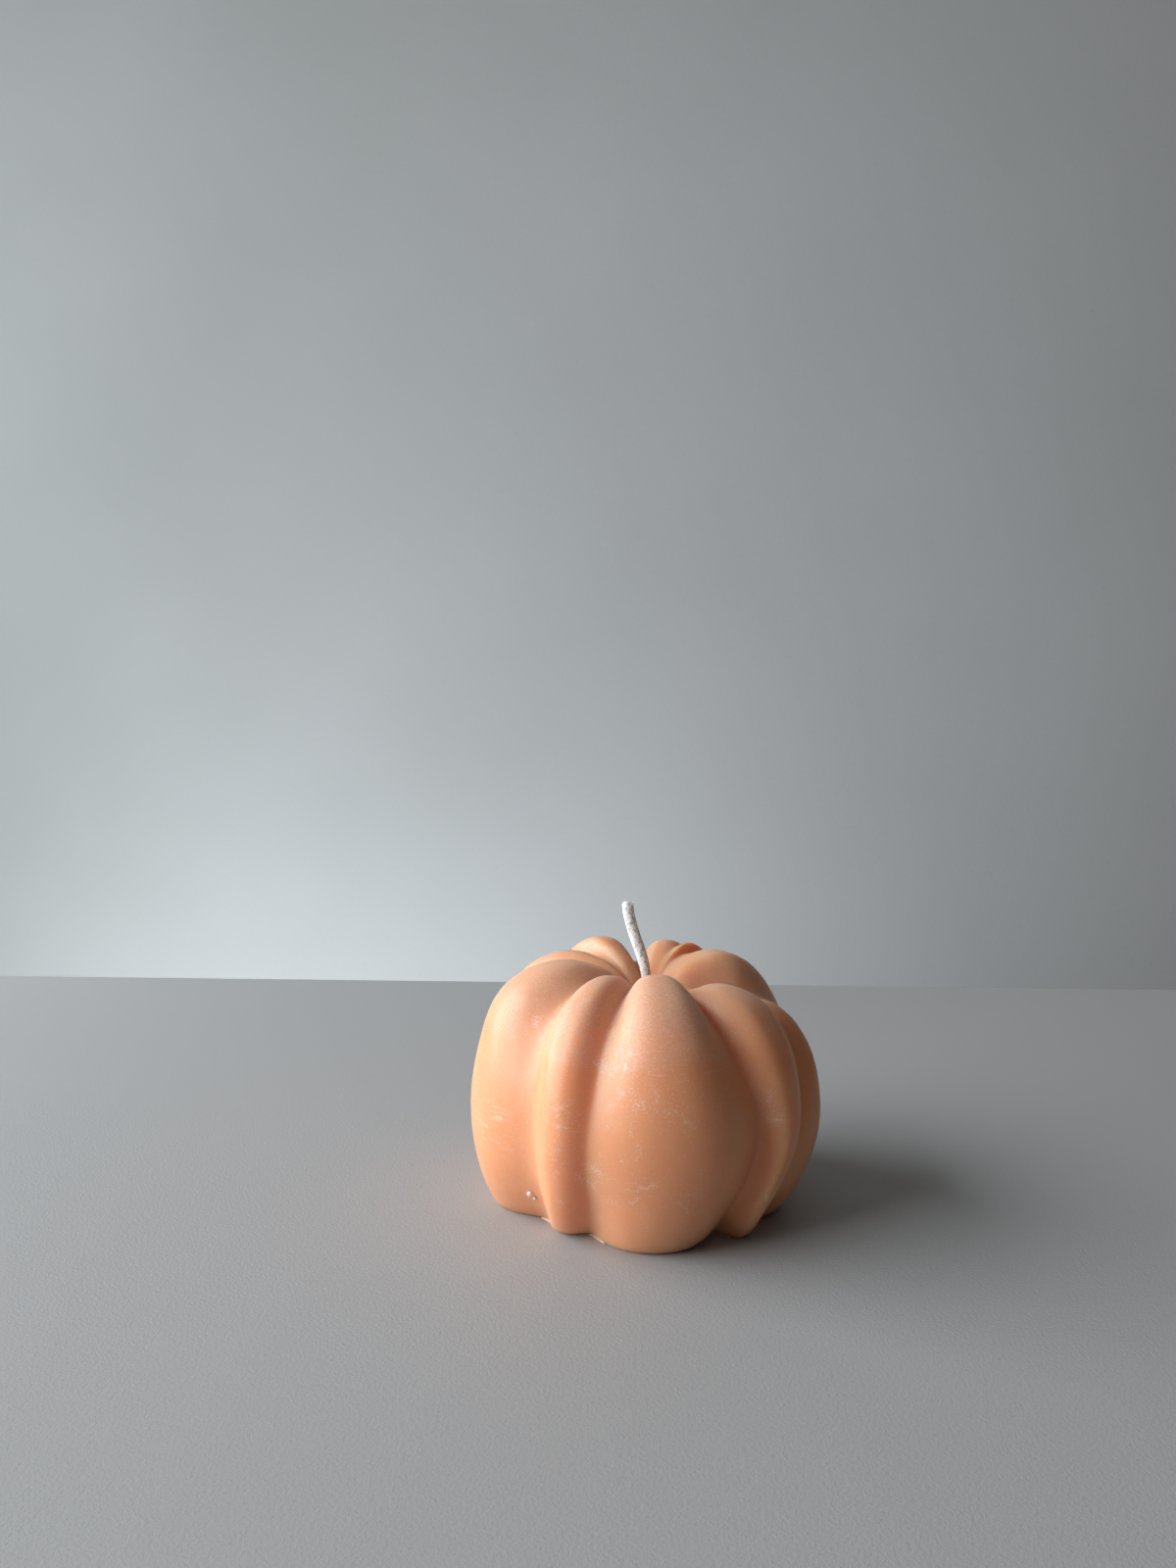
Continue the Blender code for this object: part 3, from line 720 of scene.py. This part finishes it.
def make_lips(foot):
    """Thin uneven flash of wax that spreads on the table in the notches of the foot."""
    azimuth = np.degrees(np.arctan2(foot[:, 0], -foot[:, 1]))
    vertices = []
    faces = []
    for start, end, reach in LIPS:
        turn = (azimuth - start) % 360
        chosen = [i for i in np.argsort(turn) if turn[i] <= (end - start) % 360]
        base = len(vertices)
        for k, i in enumerate(chosen):
            share = k / (len(chosen) - 1)
            wave = 1 + LIP_WAVE * noise.noise(Vector((share * LIP_WAVES, start, 0)))
            width = reach * MM * math.sin(math.pi * share) ** LIP_BLUNT * wave
            outwards = foot[i] / np.linalg.norm(foot[i])
            root = AXIS + foot[i] - outwards * EDGE_ROUND
            rim = root + outwards * (EDGE_ROUND + width)
            vertices.append(root + (0, 0, LIP_LOW))
            vertices.append(root + (0, 0, EDGE_ROUND * 0.5))
            vertices.append(rim + (0, 0, LIP_HIGH))
            vertices.append(rim + (0, 0, LIP_LOW))
        count = len(chosen)
        faces += [tuple(base + f for f in face) for face in ring_faces(count, 4)]
        faces.append((base + 3, base + 2, base + 1, base))
        last = base + 4 * (count - 1)
        faces.append((last, last + 1, last + 2, last + 3))
    return link("foot_flash", mesh_from("foot_flash", vertices, faces))


def wick_frame(z):
    """Middle of the cord at height z, with its own forward, side and depth directions."""
    def middle(height):
        share = ramp(height, (WICK_LEAVE, WICK_TIP - WICK_LEAVE))
        return np.array([AXIS[0] + WICK_LEAN * smooth(share), AXIS[1], height])
    ahead = middle(z + WICK_STEP) - middle(z - WICK_STEP)
    ahead /= np.linalg.norm(ahead)
    depth = np.array([0.0, 1.0, 0.0])
    return middle(z), ahead, np.cross(depth, ahead), depth


def weave(angle, z):
    """Height of the braid's relief, 0 to 1: strands pass over and under each other."""
    one = np.cos(math.pi * (STRANDS * (angle / (2 * math.pi) - z / STRAND_RISE)))
    other = np.cos(math.pi * (STRANDS * (angle / (2 * math.pi) + z / STRAND_RISE)))
    over = one * other
    first = np.abs(one) ** STRAND_SWELL * (STRAND_LEVEL + STRAND_DIVE * over)
    second = np.abs(other) ** STRAND_SWELL * (STRAND_LEVEL - STRAND_DIVE * over)
    return np.maximum(first, second)


def make_wick():
    """Braided cord with a slanting, rounded cut end."""
    angle = 2 * math.pi * np.arange(WICK_COLUMNS) / WICK_COLUMNS
    lumpy = LUMPS_AROUND * np.stack([np.cos(angle), np.sin(angle)], axis=1)
    grain = np.random.default_rng(5)
    vertices = []
    heights = []
    for z in np.linspace(WICK_START, WICK_TIP, WICK_RINGS):
        braid = weave(angle, z)
        heights.append(braid)
        middle, ahead, side, depth = wick_frame(min(z, WICK_TIP - WICK_STEP))
        middle = middle + ahead * max(0.0, z - WICK_TIP + WICK_STEP)
        full = smooth(ramp(z, (WICK_LEAVE, WAIST_RUN)))
        radius = WICK_WAISTED + (WICK_RADIUS - WICK_WAISTED) * full
        near = min(1.0, (WICK_TIP - z) / CUT_ROUND)
        cap = math.sqrt(1 - (1 - near) ** 2)
        relief = STRAND_RELIEF * (braid - 1) * (CUT_RELIEF + (1 - CUT_RELIEF) * cap)
        lumps = [noise.noise(Vector((a, b, z * LUMPS_ALONG))) for a, b in lumpy]
        rough = WICK_LUMPS * np.array(lumps) + grain.normal(0, WICK_GRAIN, WICK_COLUMNS)
        reach = (radius + relief + rough) * (CUT_CORE + (1 - CUT_CORE) * cap)
        slant = -CUT_SLANT * (1 - near) * reach / radius * (1 + np.cos(angle))
        ring = middle + np.outer(reach * np.cos(angle), side)
        ring += np.outer(reach * np.sin(angle), depth) + np.outer(slant, ahead)
        vertices.append(ring)
    faces = ring_faces(WICK_RINGS, WICK_COLUMNS)
    faces.append(tuple(range(WICK_COLUMNS)))
    faces.append(tuple((WICK_RINGS - 1) * WICK_COLUMNS + i for i in range(WICK_COLUMNS)))
    mesh = mesh_from("wick_looks", np.concatenate(vertices), faces)
    keep_field(mesh, "weave", np.concatenate(heights))
    return link("wick_looks", mesh)


def add_fibre(vertices, faces, points):
    """One thin tapering fibre along a few points."""
    base = len(vertices)
    for k, point in enumerate(points):
        ahead = points[min(k + 1, len(points) - 1)] - points[max(k - 1, 0)]
        side = ahead.orthogonal().normalized()
        other = ahead.cross(side).normalized()
        thick = FIBRE_RADIUS * (1 - FIBRE_TAPER * k / (len(points) - 1))
        for j in range(FIBRE_SIDES):
            turn = 2 * math.pi * j / FIBRE_SIDES
            vertices.append(point + side * thick * math.cos(turn) + other * thick * math.sin(turn))
    faces += [tuple(base + f for f in face) for face in ring_faces(len(points), FIBRE_SIDES)]
    last = base + FIBRE_SIDES * (len(points) - 1)
    faces.append(tuple(range(base, base + FIBRE_SIDES)))
    faces.append(tuple(range(last, last + FIBRE_SIDES)))


def make_fuzz():
    """Loose cotton fibres that stand out of the cord, most of them at its cut end."""
    rng = np.random.default_rng(23)
    vertices = []
    faces = []
    for k in range(FIBRES):
        low = WICK_LEAVE + FIBRE_MARGINS[0] if k % 3 else WICK_TIP - CUT_FUZZ
        z = rng.uniform(low, WICK_TIP - FIBRE_MARGINS[1])
        middle, ahead, side, depth = (Vector(v) for v in wick_frame(z))
        turn = rng.uniform(0, 2 * math.pi)
        outwards = side * math.cos(turn) + depth * math.sin(turn)
        lean = outwards.cross(ahead) * rng.uniform(*FIBRE_TURNS)
        lean += ahead * rng.uniform(*FIBRE_RISES)
        length = rng.uniform(*FIBRE_LENGTHS)
        thin = z < WICK_LEAVE + WAIST_FUZZ
        radius = WICK_WAISTED if thin else WICK_RADIUS - STRAND_RELIEF
        start = middle + outwards * radius * FIBRE_ROOT
        points = []
        for j in range(FIBRE_POINTS):
            share = j / (FIBRE_POINTS - 1)
            out = outwards * (FIBRE_CURL[0] * share - FIBRE_CURL[1] * share * share)
            points.append(start + (out + lean * share * FIBRE_LEAN) * length)
        add_fibre(vertices, faces, points)
    return link("wick_fuzz", mesh_from("wick_fuzz", vertices, faces))


class Nodes:
    """A material's node tree with short helpers to add nodes and join them."""

    def __init__(self, name):
        self.material = bpy.data.materials.new(name)
        self.material.use_nodes = True
        self.tree = self.material.node_tree
        self.tree.nodes.clear()
        output = self.tree.nodes.new("ShaderNodeOutputMaterial")
        self.shader = self.tree.nodes.new("ShaderNodeBsdfPrincipled")
        self.tree.links.new(self.shader.outputs[0], output.inputs[0])
        self.place = self.tree.nodes.new("ShaderNodeTexCoord").outputs["Object"]

    def put(self, socket, value):
        """Sets a socket to a value, or joins it to another socket."""
        if isinstance(value, bpy.types.NodeSocket):
            self.tree.links.new(value, socket)
        else:
            socket.default_value = value

    def math(self, operation, a, b, clamp=False):
        """Result of an operation on two values."""
        node = self.tree.nodes.new("ShaderNodeMath")
        node.operation = operation
        node.use_clamp = clamp
        self.put(node.inputs[0], a)
        self.put(node.inputs[1], b)
        return node.outputs[0]

    def times(self, a, b):
        """Product of two values."""
        return self.math("MULTIPLY", a, b)

    def plus(self, a, b):
        """Sum of two values."""
        return self.math("ADD", a, b)

    def rest(self, value, clamp=False):
        """What is left of 1 when a value is taken off it."""
        return self.math("SUBTRACT", 1.0, value, clamp)

    def field(self, name):
        """Value of a field that is kept on the mesh's vertices."""
        node = self.tree.nodes.new("ShaderNodeAttribute")
        node.attribute_name = name
        return node.outputs["Fac"]

    def noise(self, scale, detail=2.0, rough=0.5, stretch=(1, 1, 1), tilt=(0, 0, 0)):
        """Noise in the object's own space, finer with a greater scale."""
        mapping = self.tree.nodes.new("ShaderNodeMapping")
        mapping.inputs["Scale"].default_value = stretch
        mapping.inputs["Rotation"].default_value = tilt
        self.put(mapping.inputs["Vector"], self.place)
        node = self.tree.nodes.new("ShaderNodeTexNoise")
        node.inputs["Scale"].default_value = scale
        node.inputs["Detail"].default_value = detail
        node.inputs["Roughness"].default_value = rough
        self.put(node.inputs["Vector"], mapping.outputs[0])
        return node.outputs[0]

    def step(self, value, low, high):
        """Value brought from the range low to high into 0 to 1, with a soft start and end."""
        node = self.tree.nodes.new("ShaderNodeMapRange")
        node.interpolation_type = "SMOOTHSTEP"
        self.put(node.inputs["Value"], value)
        node.inputs["From Min"].default_value = low
        node.inputs["From Max"].default_value = high
        return node.outputs[0]

    def colours(self, value, stops):
        """Colour from a ramp of (position, colour) stops."""
        node = self.tree.nodes.new("ShaderNodeValToRGB")
        ramp_stops = node.color_ramp.elements
        while len(ramp_stops) < len(stops):
            ramp_stops.new(0.5)
        for stop, (position, colour) in zip(ramp_stops, stops):
            stop.position = position
            stop.color = (*colour, 1)
        self.put(node.inputs[0], value)
        return node.outputs[0]

    def tint(self, colour, mask, tint):
        """Colour with a tint over it where the mask says so."""
        share, own = tint
        covered = self.times(mask, share)
        node = self.tree.nodes.new("ShaderNodeMix")
        node.data_type = "RGBA"
        self.put(node.inputs["Factor"], covered)
        self.put(node.inputs[MIX_UNDER], colour)
        self.put(node.inputs[MIX_OVER], (*own, 1))
        return node.outputs[MIX_COLOUR]

    def bump(self, height, strength, distance, under=None):
        """Surface relief from a height."""
        node = self.tree.nodes.new("ShaderNodeBump")
        node.inputs["Strength"].default_value = strength
        node.inputs["Distance"].default_value = distance
        self.put(node.inputs["Height"], height)
        if under is not None:
            self.put(node.inputs["Normal"], under)
        return node.outputs[0]

    def finish(self, **sockets):
        """Sets the shader's sockets by name and returns the material."""
        for name, value in sockets.items():
            self.put(self.shader.inputs[name.replace("_", " ")], value)
        return self.material


def wax_material():
    """Translucent peach wax with painted shade on its tops, under a dusty film that is flecked and
    rubbed in places.
    """
    n = Nodes("wax")
    n.shader.subsurface_method = "RANDOM_WALK"
    cloud = n.noise(45.0, detail=4.0, rough=0.55)
    fine = n.noise(420.0, detail=3.0, rough=0.6)
    wax = n.colours(cloud, [(0.30, WAX_DARK), (0.70, WAX_LIGHT)])
    wax = n.tint(wax, n.step(fine, 0.35, 0.75), CLOUDY_TINT)
    # painted shade on the tops
    wax = n.tint(wax, n.field("top_shade"), TOP_SHADE_TINT)

    dust = n.noise(1700.0, detail=3.0, rough=0.8)
    patch = n.noise(260.0, detail=3.0, rough=0.6)
    ragged = n.plus(n.field("bloom"), n.times(n.math("SUBTRACT", patch, 0.5), 0.9))
    film = n.times(n.step(ragged, 0.15, 0.75), n.field("bloom"))
    film = n.times(film, n.step(dust, 0.43, 0.56))

    grain = n.noise(3000.0, detail=2.0, rough=0.55)
    near = n.math("MAXIMUM", n.times(n.field("flecked"), 0.13), n.times(n.field("chipped"), 0.19))
    dense = n.plus(n.plus(grain, near), n.times(n.field("bloom"), 0.03))
    fleck = n.step(dense, 0.62, 0.72)

    level, slant = (n.noise(1.0, detail=2.0, rough=0.6, stretch=fineness, tilt=tilt)
                    for fineness, tilt in STREAKS)
    line = n.plus(n.math("MAXIMUM", level, slant), n.times(n.field("rubbed"), 0.24))
    streak = n.times(n.step(line, 0.74, 0.88), n.rest(n.field("top_shade")))

    colour = n.tint(wax, film, FILM_TINT)
    colour = n.tint(colour, streak, STREAK_TINT)
    colour = n.tint(colour, fleck, FLECK_TINT)
    colour = n.tint(colour, n.field("seam"), SEAM_TINT)

    marks = n.math("MAXIMUM", fleck, streak)
    cover = n.math("MAXIMUM", n.times(film, 0.25), n.times(marks, 0.5))
    skin = n.bump(n.noise(330.0, detail=3.0, rough=0.6), strength=0.22, distance=0.00020)
    crust = n.plus(n.times(film, 0.5), n.times(marks, 0.8))
    return n.finish(
        Base_Color=colour, Normal=n.bump(crust, strength=0.35, distance=0.00006, under=skin),
        Subsurface_Weight=n.rest(cover, clamp=True),
        Roughness=n.plus(n.times(cover, 0.3), n.step(fine, -0.9, 2.6)),
        Subsurface_Radius=WAX_DEPTHS, Subsurface_Scale=0.0068, IOR=1.44,
    )


def pale_wax_material(name, dark, light, weight):
    """Pale dry wax of chips, crumbs and flash."""
    n = Nodes(name)
    n.shader.subsurface_method = "RANDOM_WALK"
    colour = n.colours(n.noise(1200.0, detail=3.0, rough=0.6), [(0.3, dark), (0.7, light)])
    relief = n.bump(n.noise(2600.0, detail=2.0, rough=0.6), strength=0.3, distance=0.00003)
    return n.finish(Base_Color=colour, Normal=relief, Subsurface_Weight=weight,
                    Subsurface_Radius=PALE_WAX_DEPTHS, Subsurface_Scale=0.0012, Roughness=0.55)


def cotton_material(name, braided):
    """White cotton, soaked with a little wax where it leaves the body, with painted shade in the
    pits between tufts, and with or without painted shade between the strands of a braid.
    """
    n = Nodes(name)
    split = n.tree.nodes.new("ShaderNodeSeparateXYZ")
    n.put(split.inputs[0], n.place)
    thread = n.noise(1.0, detail=3.0, rough=0.65, stretch=(5200.0, 5200.0, 1500.0))
    cotton = n.colours(thread, [(0.30, COTTON_DARK), (0.65, COTTON_LIGHT)])
    tuft = n.step(n.noise(1350.0, detail=2.0, rough=0.65), 0.40, 0.50)
    # painted shade in the pits between tufts, where their relief lies low
    cotton = n.tint(cotton, n.rest(tuft), PIT_SHADE_TINT)
    cloud = n.times(n.noise(500.0, detail=2.0, rough=0.5), 0.004)
    soaked = n.rest(n.step(n.plus(split.outputs["Z"], cloud), *SOAKED_HEIGHTS))
    # painted shade where the braid's relief lies low, between its strands
    braid_shade = n.times(n.rest(n.step(n.field("weave"), 0.25, 0.70)), braided)
    cotton = n.tint(cotton, braid_shade, BRAID_SHADE_TINT)
    colour = n.tint(cotton, soaked, SOAKED_TINT)
    threads = n.bump(thread, strength=0.5, distance=0.00004)
    relief = n.bump(tuft, strength=0.6, distance=0.00010, under=threads)
    return n.finish(Base_Color=colour, Normal=relief, Roughness=0.88, Subsurface_Weight=1.0,
                    Subsurface_Radius=COTTON_DEPTHS, Subsurface_Scale=0.0018,
                    Sheen_Weight=0.25, Sheen_Roughness=0.5)


def plain_material(name, dark, light, scale, roughness, grain):
    """Plain pale surface that gets lighter to the right, faintly cloudy and with a fine grain."""
    n = Nodes(name)
    split = n.tree.nodes.new("ShaderNodeSeparateXYZ")
    n.put(split.inputs[0], n.place)
    cloud = n.noise(scale, detail=3.0, rough=0.5)
    cloudy = n.times(n.math("SUBTRACT", cloud, 0.5), 0.5)
    across = n.plus(n.step(split.outputs["X"], -0.75, 0.65), cloudy)
    colour = n.colours(across, [(0.0, dark), (1.0, light)])
    speckle = n.noise(grain, detail=2.0, rough=0.7)
    colour = n.tint(colour, n.step(speckle, 0.55, 0.75), SPECKLE_TINT)
    relief = n.bump(speckle, strength=0.2, distance=0.0004)
    return n.finish(Base_Color=colour, Roughness=roughness, Normal=relief)


def show(piece, material, node=None):
    """Gives a piece its material, lets it ride on the body and, where asked, replace a node."""
    piece.data.materials.append(material)
    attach(piece, "root")
    if node:
        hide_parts(node)


def stage_sheet(name, corners, material):
    """Flat sheet of the stage."""
    mesh = bpy.data.meshes.new(name)
    mesh.from_pydata(corners, [], [(0, 1, 2, 3)])
    mesh.materials.append(material)
    link(name, mesh)


def soft_light(name, place, target, size, power, colour):
    """Rectangular soft light aimed at a point."""
    data = bpy.data.lights.new(name, "AREA")
    data.shape = "RECTANGLE"
    data.size, data.size_y = size
    data.energy = power
    data.color = colour
    made = link(name, data)
    made.location = place
    made.rotation_euler = (Vector(target) - Vector(place)).to_track_quat("-Z", "Y").to_euler()


def make_camera():
    """Camera at the photograph's place and angle."""
    data = bpy.data.cameras.new("camera")
    data.sensor_fit = "VERTICAL"
    data.sensor_height = SENSOR_HEIGHT
    data.lens = LENS
    data.clip_start = 0.01
    camera = link("camera", data)
    camera.location = (AXIS[0], AXIS[1] - CAMERA_BACK, CAMERA_HEIGHT)
    pitch, yaw = math.radians(CAMERA_PITCH), math.radians(CAMERA_YAW)
    forward = Vector((-math.sin(yaw) * math.cos(pitch), math.cos(yaw) * math.cos(pitch),
                      -math.sin(pitch)))
    camera.rotation_euler = forward.to_track_quat("-Z", "Y").to_euler()
    bpy.context.scene.camera = camera


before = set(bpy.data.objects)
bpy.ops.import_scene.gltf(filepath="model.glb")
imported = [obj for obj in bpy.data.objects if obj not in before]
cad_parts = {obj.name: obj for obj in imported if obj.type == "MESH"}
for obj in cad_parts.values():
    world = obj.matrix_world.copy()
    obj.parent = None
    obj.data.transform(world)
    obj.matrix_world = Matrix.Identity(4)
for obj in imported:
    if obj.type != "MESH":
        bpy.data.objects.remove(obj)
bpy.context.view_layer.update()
wick_low, wick_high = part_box("wick")
AXIS = np.array([wick_high[0] - WICK_RADIUS, (wick_low[1] + wick_high[1]) / 2, 0.0])

body, foot_ring = make_body()
body_tree = BVHTree.FromObject(body, bpy.context.evaluated_depsgraph_get())
show(body, wax_material(), "wax_body")
chip_wax = pale_wax_material("chip_wax", (0.93, 0.66, 0.52), (0.96, 0.80, 0.69), 0.1)
white_wax = pale_wax_material("white_wax", (0.88, 0.78, 0.73), (0.93, 0.86, 0.82), 0.5)
flash_wax = pale_wax_material("flash_wax", (0.84, 0.52, 0.37), (0.90, 0.62, 0.48), 0.5)
for scrap, material in ((make_chips(body_tree), chip_wax), (make_crumbs(body_tree), white_wax),
                        (make_lips(foot_ring), flash_wax)):
    show(scrap, material)

wick = make_wick()
show(wick, cotton_material("wick_cotton", 1.0), "wick")
fuzz = make_fuzz()
show(fuzz, cotton_material("loose_cotton", 0.0))

table_paint = plain_material("table_paint", dark=(0.345, 0.35, 0.36), light=(0.375, 0.38, 0.385),
                             scale=9.0, roughness=0.6, grain=1500.0)
wall_paint = plain_material("wall_paint", dark=(0.235, 0.25, 0.25), light=(0.41, 0.42, 0.43),
                            scale=3.0, roughness=0.8, grain=300.0)
stage_sheet("table_top", [(-2, -2.5, 0), (2, -2.5, 0), (2, TABLE_EDGE, 0), (-2, TABLE_EDGE, 0)],
            table_paint)
stage_sheet("wall", [(-3, WALL, -1.5), (3, WALL, -1.5), (3, WALL, 2.5), (-3, WALL, 2.5)],
            wall_paint)
soft_light("window", place=(-0.94, -0.13, 0.48), target=(0, 0, 0.03), size=(1.35, 0.90),
           power=25.0, colour=(0.95, 0.98, 1.0))
soft_light("ceiling", place=(0.1, -0.2, 1.3), target=(0, 0, 0), size=(1.6, 1.6),
           power=1.5, colour=(1.0, 0.94, 0.86))
soft_light("wall_glow", place=(-0.35, 0.45, -0.30), target=(-0.30, WALL, 0.0), size=(0.6, 0.1),
           power=3.5, colour=(0.93, 0.97, 1.0))

world = bpy.data.worlds.new("room")
world.use_nodes = True
background = world.node_tree.nodes["Background"]
background.inputs["Color"].default_value = (1.0, 0.90, 0.78, 1)
background.inputs["Strength"].default_value = 0.042
bpy.context.scene.world = world
bpy.context.scene.view_settings.view_transform = "Standard"
make_camera()
